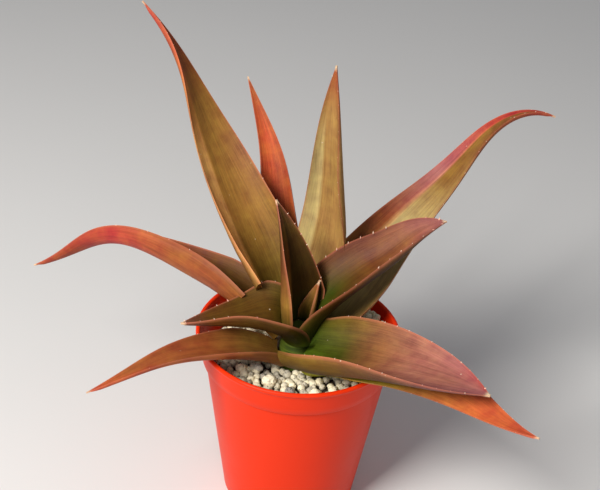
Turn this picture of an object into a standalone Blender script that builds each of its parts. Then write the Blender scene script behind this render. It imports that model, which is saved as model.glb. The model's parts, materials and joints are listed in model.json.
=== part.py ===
"""A potted succulent: an aloe rosette of twelve folded, pointed leaves on a short stem, rooted in
potting mix with a top dressing of pumice, in a round plastic nursery pot.

Metres, +Z up. The origin is the centre of the pot's flat base, and the front of the plant faces -Y.
"""

import math
import random

import bmesh
import bpy
import numpy as np
from mathutils import Matrix, Vector
from mathutils.bvhtree import BVHTree

# Pot: a round tapered nursery pot with a rolled lip over a plain band.
POT_HEIGHT = 0.088
RIM_RADIUS = 0.045
FOOT_RADIUS = 0.0307
FOOT_ROUNDING = 0.0030
POT_WALL = 0.0013
BAND_HEIGHT = 0.0134
BAND_STEP = 0.0014
BAND_TAPER = 0.0018
LIP_HEIGHT = 0.0020
LIP_WIDTH = 0.0020
BAND_BELOW_LIP = 0.0011
DRAIN_HOLES = 8
DRAIN_RADIUS = 0.0030
DRAIN_RING = 0.0200

# Potting mix and its top dressing.
MIX_BELOW_RIM = 0.0145
MIX_HOLLOW = 0.0025
HOLLOW_RADIUS = 0.0170
HOLLOW_SLOPE = 0.0050
STONE_RADIUS = (0.0026, 0.0039)
STONE_FLATNESS = 0.80
STONE_ROUGHNESS = (0.84, 1.0)
STONE_COUNT = 32
STONE_TRIES = 6000
STONE_SEED = 5
GREY_STONE_EVERY = 4

# Stem: a short cone that the leaf bases wrap.
STEM_RADIUS = 0.0082
STEM_TIP_RADIUS = 0.0028
STEM_ROOTED = 0.0080
STEM_ABOVE_RIM = 0.0030
STEM_SHOULDER_BELOW_RIM = 0.0070
STEM_NARROWING = 0.42

# Clearances between pieces that touch in the real plant.
GAP = 0.0003
LEAF_GAP = 0.0004
RIM_CLEARANCE = 0.0003
MIX_CLEARANCE = 0.0001

# How finely the round and the grown shapes are faceted.
SEGMENTS = 56
LEAF_STATIONS = 18
LEAF_ACROSS = 5
CLEARANCE_STATIONS = 90
CUP_SHARE = 0.7


def leaf(
    name, colour, length, width, thick, foot, above, around, heading, rise, roll, fold, base=0.8, hold=1.1,
    cup=0.0,
):
    """One leaf. It springs from a foot this far from the axis, in the direction around, at a height above
    the pot's rim. Angles are in degrees. heading, rise, roll and fold run evenly from base to tip: heading
    turns from +X towards +Y, rise is the slope above level, roll lifts the side on the left of the heading,
    and fold is how far each half of the blade curls up. base is the share of the full width at the foot,
    and a larger hold keeps the blade wide for longer before it narrows. cup is the depth over the upper face
    that the leaves outside it are kept out of."""
    return {
        "name": name, "colour": colour, "length": length, "width": width, "thick": thick, "foot": foot,
        "above": above, "around": around, "heading": heading, "rise": rise, "roll": roll, "fold": fold,
        "base": base, "hold": hold, "cup": cup,
    }


LEVEL = (0, 0, 0)
OLIVE = (0.16, 0.11, 0.035)
GOLD = (0.33, 0.20, 0.065)
RUST = (0.36, 0.10, 0.040)
ROSE = (0.40, 0.15, 0.110)
BRONZE = (0.22, 0.10, 0.045)

# From the heart of the rosette outwards: each leaf gives way to those before it where their bases crowd.
LEAVES = (
    leaf("leaf_bud", GOLD, 0.020, 0.010, 0.0015, 0.0040, 0.0030, 40, (40, 40, 40), (80, 75, 65),
         LEVEL, (80, 70, 50), base=0.9),
    leaf("leaf_heart", OLIVE, 0.058, 0.0305, 0.0025, 0.0040, 0.0025, 137, (140, 140, 142),
         (87, 84, 79, 70, 58), (0, 0, -3), (85, 79, 53, 40)),
    leaf("leaf_right_inner", ROSE, 0.079, 0.031, 0.0030, 0.0045, 0.0005, 23, (14, 17, 23),
         (74, 48, 32, 38, 0), (-2, 9, 16), (88, 60, 78, 32), hold=2.2),
    leaf("leaf_left_short", BRONZE, 0.053, 0.039, 0.0032, 0.0045, 0.0, 207, (209, 198, 203),
         (69, 20, 6, 4, 7), (-25, 15, 13), (88, 51, 50, 40), base=0.75, cup=0.006),
    leaf("leaf_back_upright", GOLD, 0.124, 0.029, 0.0030, 0.0115, -0.0040, 80, (68, 54, 60),
         (49, 72, 94, 97, 86), (14, -7, 9), (75, 47, 69, 27), base=0.7, hold=1.6),
    leaf("leaf_back_left_tall", GOLD, 0.157, 0.036, 0.0034, 0.0090, -0.0045, 126, (133, 136, 168),
         (62, 47, 52, 62, 45), (8, -9, 34), (86, 60, 22, 42)),
    leaf("leaf_front_right_broad", ROSE, 0.093, 0.0445, 0.0034, 0.0110, -0.0050, 284, (318, 326, 326),
         (16, 22, 18, 14, 4), (15, -2, 2), (90, 75, 44, 15), hold=2.3),
    leaf("leaf_right_long", GOLD, 0.153, 0.038, 0.0034, 0.0095, -0.0075, 46, (37, 34, 12),
         (34, 50, 38, 46, -24), (13, -9, -14), (62, 20, 15, 45), hold=1.2),
    leaf("leaf_left_arching", RUST, 0.144, 0.032, 0.0034, 0.0100, -0.0045, 140, (160, 156, 162),
         (35, 14, 6, -36, -30), (0, 38, 33), (55, 85, 55, 40)),
    leaf("leaf_front_left_low", RUST, 0.097, 0.0205, 0.0034, 0.0095, -0.0105, 218, (213, 218, 217),
         (36, 22, 13, -5, -5), (-2, -3, 15), (64, 49, 29, 32)),
    leaf("leaf_back_slender", RUST, 0.120, 0.025, 0.0028, 0.0125, -0.0110, 102, (112, 108, 125),
         (47, 49, 68, 42, 50), (5, -6, -8), (62, 64, 48, 19), base=0.7),
    leaf("leaf_front_right_low", RUST, 0.114, 0.030, 0.0032, 0.0130, -0.0115, 316, (326, 323, 312),
         (34, 28, 4, -4, 20), (5, 28, -3), (54, 24, 10, 5), hold=1.3),
)
# The blade: where it is widest, how sharp its tip is, and how its flesh thins to the margins and the tip.
WIDEST_AT = 0.25
TIP_SHARE = 0.02
THINNING = 0.72
EDGE_THICKNESS = 0.0008
TIP_EDGE_SHARE = 0.25
TIP_EDGE_STARTS = 0.3
LEAST_THICKNESS = 0.0003


def material(name, colour, roughness):
    """A Principled BSDF material of one colour."""
    made = bpy.data.materials.new(name)
    made.use_nodes = True
    shader = made.node_tree.nodes["Principled BSDF"]
    shader.inputs["Base Color"].default_value = (*colour, 1.0)
    shader.inputs["Roughness"].default_value = roughness
    made.diffuse_color = (*colour, 1.0)
    return made


def new_object(name, points, faces, surface, smooth=True):
    """A mesh object in the scene, with its normals facing out."""
    mesh = bpy.data.meshes.new(name)
    mesh.from_pydata([tuple(p) for p in points], [], [tuple(int(i) for i in f) for f in faces])
    body = bmesh.new()
    body.from_mesh(mesh)
    bmesh.ops.recalc_face_normals(body, faces=body.faces)
    body.to_mesh(mesh)
    body.free()
    mesh.polygons.foreach_set("use_smooth", [smooth] * len(mesh.polygons))
    made = bpy.data.objects.new(name, mesh)
    made.data.materials.append(surface)
    bpy.context.collection.objects.link(made)
    return made


def turned(name, profile, surface):
    """A solid of revolution about Z from (radius, height) points that start and end on the axis, or that
    close into a ring when they never touch it."""
    points, rings = [], []
    for radius, height in profile:
        if radius == 0:
            rings.append([len(points)] * SEGMENTS)
            points.append((0, 0, height))
            continue
        rings.append(list(range(len(points), len(points) + SEGMENTS)))
        for k in range(SEGMENTS):
            angle = 2 * math.pi * k / SEGMENTS
            points.append((radius * math.cos(angle), radius * math.sin(angle), height))
    pairs = list(zip(rings, rings[1:]))
    if profile[0][0] != 0:
        pairs.append((rings[-1], rings[0]))
    faces = []
    for low, high in pairs:
        for k in range(SEGMENTS):
            n = (k + 1) % SEGMENTS
            corners = [low[k], low[n], high[n], high[k]]
            faces.append(list(dict.fromkeys(corners)))
    return new_object(name, points, faces, surface)


def carved(target, cutters):
    """The target with every cutter taken away, keeping its largest piece. The cutters are removed."""
    for cutter in cutters:
        cutter.hide_render = True
        cutter.display_type = "WIRE"
        cut = target.modifiers.new("cut_" + cutter.name, "BOOLEAN")
        cut.operation = "DIFFERENCE"
        cut.solver = "EXACT"
        cut.object = cutter
    bpy.context.view_layer.update()
    graph = bpy.context.evaluated_depsgraph_get()
    mesh = bpy.data.meshes.new_from_object(target.evaluated_get(graph), depsgraph=graph)
    target.modifiers.clear()
    keep_largest(mesh)
    old, target.data = target.data, mesh
    mesh.name = target.name
    bpy.data.meshes.remove(old)
    for cutter in cutters:
        bpy.data.objects.remove(cutter)
    return target


def keep_largest(mesh):
    """Removes the loose splinters that a cut leaves beside the main body."""
    body = bmesh.new()
    body.from_mesh(mesh)
    islands, seen = [], set()
    for start in body.verts:
        if start in seen:
            continue
        island, reach = [], [start]
        seen.add(start)
        while reach:
            vertex = reach.pop()
            island.append(vertex)
            for edge in vertex.link_edges:
                other = edge.other_vert(vertex)
                if other not in seen:
                    seen.add(other)
                    reach.append(other)
        islands.append(island)
    islands.sort(key=len)
    for island in islands[:-1]:
        bmesh.ops.delete(body, geom=island, context="VERTS")
    body.to_mesh(mesh)
    body.free()


# Pot

BAND_FOOT = POT_HEIGHT - BAND_HEIGHT
BAND_TOP_RADIUS = RIM_RADIUS - BAND_BELOW_LIP
BAND_FOOT_RADIUS = BAND_TOP_RADIUS - BAND_TAPER
WALL_TOP_RADIUS = BAND_FOOT_RADIUS - BAND_STEP
INNER_BAND_RADIUS = RIM_RADIUS - LIP_WIDTH
LIP_ROUNDING = LIP_WIDTH / 4


def wall_radius(height):
    """The outside radius of the tapered wall under the band."""
    share = (height - FOOT_ROUNDING) / (BAND_FOOT - FOOT_ROUNDING)
    return FOOT_RADIUS + share * (WALL_TOP_RADIUS - FOOT_RADIUS)


def pot_profile():
    """The pot's section, from the middle of its base up the outside, over the lip and down the inside."""
    corner = []
    for step in range(5):
        angle = math.radians(90 * step / 4)
        corner.append((
            FOOT_RADIUS - FOOT_ROUNDING * (1 - math.sin(angle)),
            FOOT_ROUNDING * (1 - math.cos(angle)),
        ))
    shelf = BAND_FOOT + 2 * POT_WALL
    return [
        (0, 0), *corner,
        (WALL_TOP_RADIUS, BAND_FOOT),
        (BAND_FOOT_RADIUS, BAND_FOOT + BAND_STEP / 3),
        (BAND_TOP_RADIUS, POT_HEIGHT - LIP_HEIGHT),
        (RIM_RADIUS - LIP_ROUNDING, POT_HEIGHT - LIP_HEIGHT + LIP_ROUNDING / 2),
        (RIM_RADIUS, POT_HEIGHT - LIP_HEIGHT + LIP_ROUNDING * 2),
        (RIM_RADIUS, POT_HEIGHT - LIP_ROUNDING),
        (RIM_RADIUS - LIP_ROUNDING, POT_HEIGHT),
        (INNER_BAND_RADIUS + LIP_ROUNDING, POT_HEIGHT),
        (INNER_BAND_RADIUS, POT_HEIGHT - LIP_ROUNDING),
        (BAND_FOOT_RADIUS - POT_WALL, shelf),
        (WALL_TOP_RADIUS - POT_WALL, BAND_FOOT),
        (wall_radius(FOOT_ROUNDING + POT_WALL) - POT_WALL, FOOT_ROUNDING + POT_WALL),
        (FOOT_RADIUS - FOOT_ROUNDING, POT_WALL),
        (0, POT_WALL),
    ]


def build_pot():
    """The pot, with its ring of drainage holes through the base."""
    surface = material("pot", (0.88, 0.065, 0.012), 0.33)
    pot = turned("pot", pot_profile(), surface)
    punches = []
    for k in range(DRAIN_HOLES):
        angle = 2 * math.pi * (k + 0.5) / DRAIN_HOLES
        punch = turned("punch", [
            (0, -POT_WALL), (DRAIN_RADIUS, -POT_WALL), (DRAIN_RADIUS, 2 * POT_WALL), (0, 2 * POT_WALL),
        ], surface)
        body = bmesh.new()
        body.from_mesh(punch.data)
        bmesh.ops.translate(
            body, verts=body.verts, vec=(DRAIN_RING * math.cos(angle), DRAIN_RING * math.sin(angle), 0)
        )
        body.to_mesh(punch.data)
        body.free()
        punches.append(punch)
    carved(pot, punches)
    return pot


# Leaves

def evenly(values, count):
    """A smooth run of count values through evenly spaced ones, from the first to the last."""
    v = np.array(values, float)
    v = np.concatenate([[2 * v[0] - v[1]], v, [2 * v[-1] - v[-2]]])
    t = np.linspace(0, len(values) - 1, count)
    i = np.minimum(t.astype(int), len(values) - 2)
    f = t - i
    a, b, c, d = v[i], v[i + 1], v[i + 2], v[i + 3]
    return 0.5 * (2 * b + (c - a) * f + (2 * a - 5 * b + 4 * c - d) * f**2 + (3 * b - a - 3 * c + d) * f**3)


def spine(leaf_data, count, lift):
    """Points down the middle of a leaf's upper face, and the along, side and up directions at each."""
    finer = 8
    total = (count - 1) * finer + 1
    rise = np.radians(evenly(leaf_data["rise"], total))
    heading = np.radians(evenly(leaf_data["heading"], total))
    roll = np.radians(evenly(leaf_data["roll"], total))
    along = np.stack([np.cos(rise) * np.cos(heading), np.cos(rise) * np.sin(heading), np.sin(rise)], 1)
    steps = (along[1:] + along[:-1]) / 2 * leaf_data["length"] / (total - 1)
    first = math.radians(leaf_data["around"])
    start = np.array([
        leaf_data["foot"] * math.cos(first),
        leaf_data["foot"] * math.sin(first),
        POT_HEIGHT + leaf_data["above"] + lift,
    ])
    points = start + np.concatenate([np.zeros((1, 3)), np.cumsum(steps, 0)])
    level = np.stack([-np.sin(heading), np.cos(heading), np.zeros(total)], 1)
    upright = np.cross(along, level)
    c, s = np.cos(roll)[:, None], np.sin(roll)[:, None]
    side = c * level + s * upright
    up = -s * level + c * upright
    return points[::finer], along[::finer], side[::finer], up[::finer]


def half_width(leaf_data, t):
    """Half the blade's width at each share t of its length."""
    grow = np.clip(t / WIDEST_AT, 0, 1)
    grow = leaf_data["base"] + (1 - leaf_data["base"]) * grow * grow * (3 - 2 * grow)
    past = np.clip((t - WIDEST_AT) / (1 - WIDEST_AT), 0, 1)
    return leaf_data["width"] / 2 * grow * np.maximum(1 - past ** leaf_data["hold"], TIP_SHARE)


def leaf_rings(leaf_data, lift, swell=0.0, stations=LEAF_STATIONS, cup=0.0):
    """Closed sections along a leaf: the upper face from side to side, then the lower face back. Swell grows
    the whole blade outwards, for cutting its neighbours clear of it."""
    t = np.linspace(0, 1, stations)
    points, along, side, up = spine(leaf_data, stations, lift)
    points[0] -= along[0] * swell
    points[-1] += along[-1] * swell
    half = half_width(leaf_data, t)
    fold = np.radians(evenly(leaf_data["fold"], stations))
    thick = leaf_data["thick"] * (1 - THINNING * t**1.2)
    v = np.linspace(-1, 1, LEAF_ACROSS)
    rings = []
    for i in range(stations):
        curl = fold[i] * v
        reach = (half[i] + swell) / fold[i]
        across = reach * np.sin(curl)
        height = reach * (1 - np.cos(curl))
        narrow = min(1, half[i] / (TIP_EDGE_STARTS * leaf_data["width"]))
        edge = EDGE_THICKNESS * (TIP_EDGE_SHARE + (1 - TIP_EDGE_SHARE) * narrow)
        body = thick[i] * (1 - np.abs(v) ** 2.2) + edge
        body = np.minimum(body, 1.1 * half[i] + LEAST_THICKNESS) + swell
        over = swell + min(cup, CUP_SHARE * reach)
        upper = points[i] + np.outer(across - np.sin(curl) * over, side[i])
        upper += np.outer(height + np.cos(curl) * over, up[i])
        lower = points[i] + np.outer(across + np.sin(curl) * body, side[i])
        lower += np.outer(height - np.cos(curl) * body, up[i])
        rings.append(np.concatenate([upper, lower[::-1]]))
    return np.array(rings)


def leaf_object(leaf_data, name, surface, lift, swell=0.0, cup=0.0):
    """A leaf as a closed mesh. cup thickens it by that much over its upper face."""
    rings = leaf_rings(leaf_data, lift, swell, cup=cup)
    around = rings.shape[1]
    faces = []
    for i in range(len(rings) - 1):
        for j in range(around):
            a, b = i * around + j, i * around + (j + 1) % around
            faces += [(a, b, b + around), (a, b + around, a + around)]
    for first in (0, (len(rings) - 1) * around):
        for j in range(LEAF_ACROSS - 1):
            a, b = first + j, first + j + 1
            c, d = first + around - 1 - j, first + around - 2 - j
            faces += [(a, c, d), (a, d, b)]
    return new_object(name, rings.reshape(-1, 3), faces, surface)


def crown_lift():
    """How far the whole crown has to rise for every leaf to pass clear over the mix and the pot's rim."""
    short = 0.0
    for leaf_data in LEAVES:
        points = leaf_rings(leaf_data, 0.0, stations=CLEARANCE_STATIONS).reshape(-1, 3)
        reach = np.hypot(points[:, 0], points[:, 1])
        near = np.abs(reach - (RIM_RADIUS - LIP_WIDTH / 2)) < LIP_WIDTH
        if near.any():
            short = max(short, POT_HEIGHT + RIM_CLEARANCE - points[near, 2].min())
        for place, height in zip(reach, points[:, 2]):
            if place < WALL_TOP_RADIUS:
                short = max(short, mix_surface(place) + MIX_CLEARANCE - height)
    return short


def mix_surface(reach):
    """The height of the mix this far from the axis: level, with a shallow hollow round the stem."""
    share = min(1.0, max(0.0, (reach - HOLLOW_RADIUS) / HOLLOW_SLOPE))
    return POT_HEIGHT - MIX_BELOW_RIM - MIX_HOLLOW * (1 - share)


def stem_profile(lift, swell=0.0):
    """The stem's section: rooted in the mix, straight up to its shoulder, then tapering to its tip."""
    foot = mix_surface(0) - STEM_ROOTED
    shoulder = POT_HEIGHT - STEM_SHOULDER_BELOW_RIM + lift
    tip = POT_HEIGHT + STEM_ABOVE_RIM + lift
    middle = (shoulder + tip) / 2
    waist = STEM_RADIUS - STEM_NARROWING * (STEM_RADIUS - STEM_TIP_RADIUS)
    return [
        (0, foot - swell),
        (STEM_RADIUS + swell, foot - swell),
        (STEM_RADIUS + swell, shoulder),
        (waist + swell, middle),
        (STEM_TIP_RADIUS + swell, tip + swell),
        (0, tip + swell),
    ]


def build_mix():
    """The potting mix, which fills the pot to below its rim and holds the stem in a socket."""
    top = POT_HEIGHT - MIX_BELOW_RIM
    floor = POT_WALL + GAP
    socket = STEM_RADIUS + GAP
    corner = FOOT_ROUNDING + POT_WALL
    wall_top = wall_radius(min(top, BAND_FOOT)) - POT_WALL - GAP
    profile = [
        (0, floor),
        (FOOT_RADIUS - FOOT_ROUNDING - GAP, floor),
        (wall_radius(corner) - POT_WALL - GAP, corner),
        (wall_top, min(top, BAND_FOOT - GAP)),
    ]
    if top > BAND_FOOT:
        profile.append((wall_top, top))
    profile += [
        (HOLLOW_RADIUS + HOLLOW_SLOPE, top),
        (HOLLOW_RADIUS, mix_surface(0)),
        (socket, mix_surface(0)),
        (socket, mix_surface(0) - STEM_ROOTED - GAP),
        (0, mix_surface(0) - STEM_ROOTED - GAP),
    ]
    return turned("potting_mix", profile, material("potting_mix", (0.030, 0.022, 0.016), 0.95))


def build_stones(leaves):
    """The pumice dressing: stones strewn over the mix wherever no leaf, stem or other stone is in the way."""
    choose = random.Random(STONE_SEED)
    pumice = material("pumice", (0.62, 0.57, 0.46), 0.9)
    grey = material("grey_stone", (0.26, 0.25, 0.23), 0.9)
    trees = [BVHTree.FromObject(each, bpy.context.evaluated_depsgraph_get()) for each in leaves]
    wall = wall_radius(BAND_FOOT) - POT_WALL - GAP
    placed = []
    for _ in range(STONE_TRIES):
        radius = choose.uniform(*STONE_RADIUS)
        reach = (wall - radius) * math.sqrt(choose.random())
        angle = choose.uniform(0, 2 * math.pi)
        ground = mix_surface(reach + radius) + GAP
        middle = Vector((reach * math.cos(angle), reach * math.sin(angle), ground + radius * STONE_FLATNESS))
        if len(placed) == STONE_COUNT or reach < STEM_RADIUS + radius + GAP:
            continue
        if any((middle.xy - other.xy).length < radius + size + GAP for other, size in placed):
            continue
        if any((tree.find_nearest(middle)[3] or 1) < radius + LEAF_GAP for tree in trees):
            continue
        placed.append((middle, radius))
    placed.sort(key=lambda entry: math.atan2(entry[0].y, entry[0].x))
    for number, (middle, radius) in enumerate(placed, 1):
        body = bmesh.new()
        bmesh.ops.create_icosphere(body, subdivisions=1, radius=1.0)
        stretch = choose.uniform(*STONE_ROUGHNESS)
        turn = choose.uniform(0, math.pi)
        for vertex in body.verts:
            vertex.co *= choose.uniform(*STONE_ROUGHNESS) * radius
            vertex.co.x *= stretch
            vertex.co.z *= STONE_FLATNESS
        bmesh.ops.rotate(body, verts=body.verts, cent=(0, 0, 0), matrix=Matrix.Rotation(turn, 3, "Z"))
        bmesh.ops.translate(body, verts=body.verts, vec=middle)
        points = [vertex.co.copy() for vertex in body.verts]
        faces = [[vertex.index for vertex in face.verts] for face in body.faces]
        body.free()
        surface = grey if number % GREY_STONE_EVERY == 0 else pumice
        new_object(f"stone_{number:02d}", points, faces, surface, smooth=False)


def build_leaves(lift):
    """Every leaf, each cut clear of the stem and of the leaves inside it."""
    made = []
    for position, leaf_data in enumerate(LEAVES):
        surface = material(leaf_data["name"], leaf_data["colour"], 0.42)
        blade = leaf_object(leaf_data, leaf_data["name"], surface, lift)
        cutters = [turned("stem_cutter", stem_profile(lift, GAP), surface)]
        for inner in LEAVES[:position]:
            cutters.append(leaf_object(inner, "cutter_" + inner["name"], surface, lift, LEAF_GAP))
            if inner["cup"]:
                cutters.append(leaf_object(inner, "cup_" + inner["name"], surface, lift, LEAF_GAP, inner["cup"]))
        made.append(carved(blade, cutters))
    return made


def main():
    """Builds the whole plant in an empty scene."""
    for old in list(bpy.data.objects):
        bpy.data.objects.remove(old)
    pot = build_pot()
    build_mix()
    lift = crown_lift()
    turned("stem", stem_profile(lift), material("stem", (0.16, 0.17, 0.05), 0.6))
    leaves = build_leaves(lift)
    build_stones(leaves)
    for each in list(bpy.context.collection.objects):
        if each is not pot:
            each.parent = pot


main()
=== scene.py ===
"""Potted succulent: the finished look of an aloe rosette in a nursery pot, built round its packed frame.

Metres, +Z up, with the origin at the centre of the pot's base. The front of the plant faces -Y.
"""

import json
import math
import random
from types import SimpleNamespace

import bmesh
import bpy
import numpy as np
from bpy.props import FloatProperty, FloatVectorProperty, IntProperty, PointerProperty
from mathutils import Matrix, Vector, noise
from mathutils.bvhtree import BVHTree

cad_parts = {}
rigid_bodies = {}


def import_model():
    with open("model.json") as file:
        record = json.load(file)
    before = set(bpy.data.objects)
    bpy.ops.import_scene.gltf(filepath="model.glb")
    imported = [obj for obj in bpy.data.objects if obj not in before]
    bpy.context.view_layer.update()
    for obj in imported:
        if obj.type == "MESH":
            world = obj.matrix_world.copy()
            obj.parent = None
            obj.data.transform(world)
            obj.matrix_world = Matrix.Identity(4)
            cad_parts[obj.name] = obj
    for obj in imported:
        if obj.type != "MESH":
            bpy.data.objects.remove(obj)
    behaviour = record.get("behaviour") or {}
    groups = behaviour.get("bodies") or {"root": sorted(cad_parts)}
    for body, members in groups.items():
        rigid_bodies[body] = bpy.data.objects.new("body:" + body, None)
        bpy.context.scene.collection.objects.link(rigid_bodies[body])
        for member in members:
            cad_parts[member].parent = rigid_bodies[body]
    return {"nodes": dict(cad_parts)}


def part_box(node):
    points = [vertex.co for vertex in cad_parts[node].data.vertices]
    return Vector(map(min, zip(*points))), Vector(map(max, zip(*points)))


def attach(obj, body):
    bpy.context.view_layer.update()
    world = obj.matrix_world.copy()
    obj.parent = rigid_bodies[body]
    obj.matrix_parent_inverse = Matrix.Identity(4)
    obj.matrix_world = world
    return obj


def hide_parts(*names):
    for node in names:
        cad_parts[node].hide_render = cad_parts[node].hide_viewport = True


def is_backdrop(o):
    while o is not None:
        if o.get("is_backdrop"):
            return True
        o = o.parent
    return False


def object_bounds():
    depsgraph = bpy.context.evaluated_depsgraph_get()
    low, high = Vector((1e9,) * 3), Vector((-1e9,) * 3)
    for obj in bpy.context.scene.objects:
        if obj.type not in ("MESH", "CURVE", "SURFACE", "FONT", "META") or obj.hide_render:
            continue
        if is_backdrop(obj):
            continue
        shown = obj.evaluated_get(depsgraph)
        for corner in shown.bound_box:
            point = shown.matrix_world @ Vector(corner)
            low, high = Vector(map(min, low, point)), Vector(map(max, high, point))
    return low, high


bl_info = {
    "name": "Potted Succulent",
    "version": (1, 0, 0),
    "blender": (4, 5, 0),
    "location": "3D View > Sidebar > Succulent",
    "description": "Builds a potted aloe rosette with its pot, dressing, leaves and margin teeth",
    "category": "Add Mesh",
}

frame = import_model()
CAD_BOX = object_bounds()

POT_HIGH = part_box("pot")[1]
MIX_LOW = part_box("potting_mix")[0]
STEM_LOW, STEM_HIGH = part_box("stem")
FLOOR_REACH = 4.0
STONES = sorted(name for name in frame["nodes"] if name.startswith("stone_"))
GREY_STONE_EVERY = 4
STONE_SEED = 21


def tone(red, green, blue):
    """A screen colour, each part out of 255, as the linear colour that a shader reads."""
    return tuple((part / 255) ** 2.2 for part in (red, green, blue))


# Leaves

PALETTE = {
    "forest": tone(54, 62, 14),
    "green": tone(72, 92, 20),
    "lime": tone(172, 174, 42),
    "moss": tone(112, 98, 40),
    "olive": tone(108, 84, 34),
    "dark": tone(60, 42, 14),
    "umber": tone(88, 62, 24),
    "bronze": tone(102, 60, 28),
    "ochre": tone(138, 98, 46),
    "gold": tone(156, 118, 68),
    "amber": tone(184, 124, 62),
    "honey": tone(216, 158, 92),
    "khaki": tone(178, 156, 104),
    "tan": tone(136, 86, 54),
    "rust": tone(148, 80, 44),
    "brick": tone(146, 66, 38),
    "orange": tone(200, 92, 54),
    "rose": tone(156, 98, 82),
    "mauve": tone(158, 94, 94),
    "plum": tone(112, 68, 56),
    "crimson": tone(170, 60, 52),
    "cream": tone(236, 216, 176),
}
LEVEL = (0, 0, 0)


def leaf(
    name, slot, length, width, thick, foot, above, around, heading, rise, roll, fold, left, middle, right, under,
    base=0.8, hold=1.1, cup=0.0, crease=0.0, teeth=(0.2, 0.97), tooth=1.0,
):
    """One leaf. It springs from a foot this far from the axis, in the direction around, at a height above the
    pot's rim. Angles are in degrees and run evenly from base to tip: heading turns from +X towards +Y, rise is the
    slope above level, roll lifts the side on the left of the heading, and fold is how far each half curls up. The
    strips left, middle, right and under name the colours of the blade from base to tip. cup is the depth over the
    upper face that outer leaves are kept out of. The left strip starts at the crease, a share of the half width,
    or blends in softly where that is 0. teeth is the stretch of margin that carries them."""
    blade = SimpleNamespace(**locals())
    blade.left, blade.middle, blade.right, blade.under = (names.split() for names in (left, middle, right, under))
    return blade


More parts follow.
